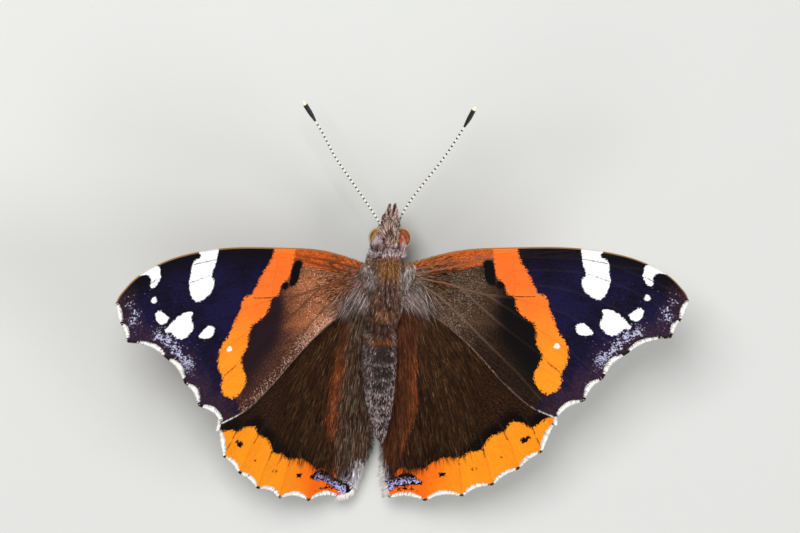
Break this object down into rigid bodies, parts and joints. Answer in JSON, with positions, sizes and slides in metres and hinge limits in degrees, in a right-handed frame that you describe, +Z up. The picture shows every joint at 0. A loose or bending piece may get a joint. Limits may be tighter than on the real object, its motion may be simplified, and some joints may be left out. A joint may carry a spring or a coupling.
{
  "type": "red admiral butterfly",
  "caption": "Butterfly standing at rest with scalloped, veined wings spread wide, clubbed feelers held forward and a ringed, tapered abdomen.",
  "frame": {"origin": "on the floor under the middle of the box that holds the butterfly, which stands on z = 0", "axes": "+Y towards the head, +X towards the tip of the right wing, +Z up"},
  "size_m": [0.0662, 0.0486, 0.0169],
  "materials": {
    "body_fur": "short grey-brown fur",
    "abdomen_fur": "grey-brown scales with paler rings",
    "eye": "glossy brown compound eye",
    "antenna": "black with fine white rings and a pale tip",
    "palp": "brown and grey scales",
    "proboscis": "dark brown, ringed",
    "forewing": "powdery scales, black-brown with an orange band and white spots",
    "hindwing": "powdery scales, dark brown with an orange margin",
    "leg": "brown, scaled"
  },
  "bodies": {
    "root": {"thorax": "body_fur", "abdomen": "abdomen_fur", "head": "body_fur", "eye_right": "eye", "eye_left": "eye", "antenna_right": "antenna", "antenna_left": "antenna", "palp_right": "palp", "palp_left": "palp", "proboscis": "proboscis", "forewing_right": "forewing", "forewing_left": "forewing", "hindwing_right": "hindwing", "hindwing_left": "hindwing", "foreleg_right": "leg", "foreleg_left": "leg", "midleg_right": "leg", "midleg_left": "leg", "hindleg_right": "leg", "hindleg_left": "leg"}
  },
  "joints": []
}
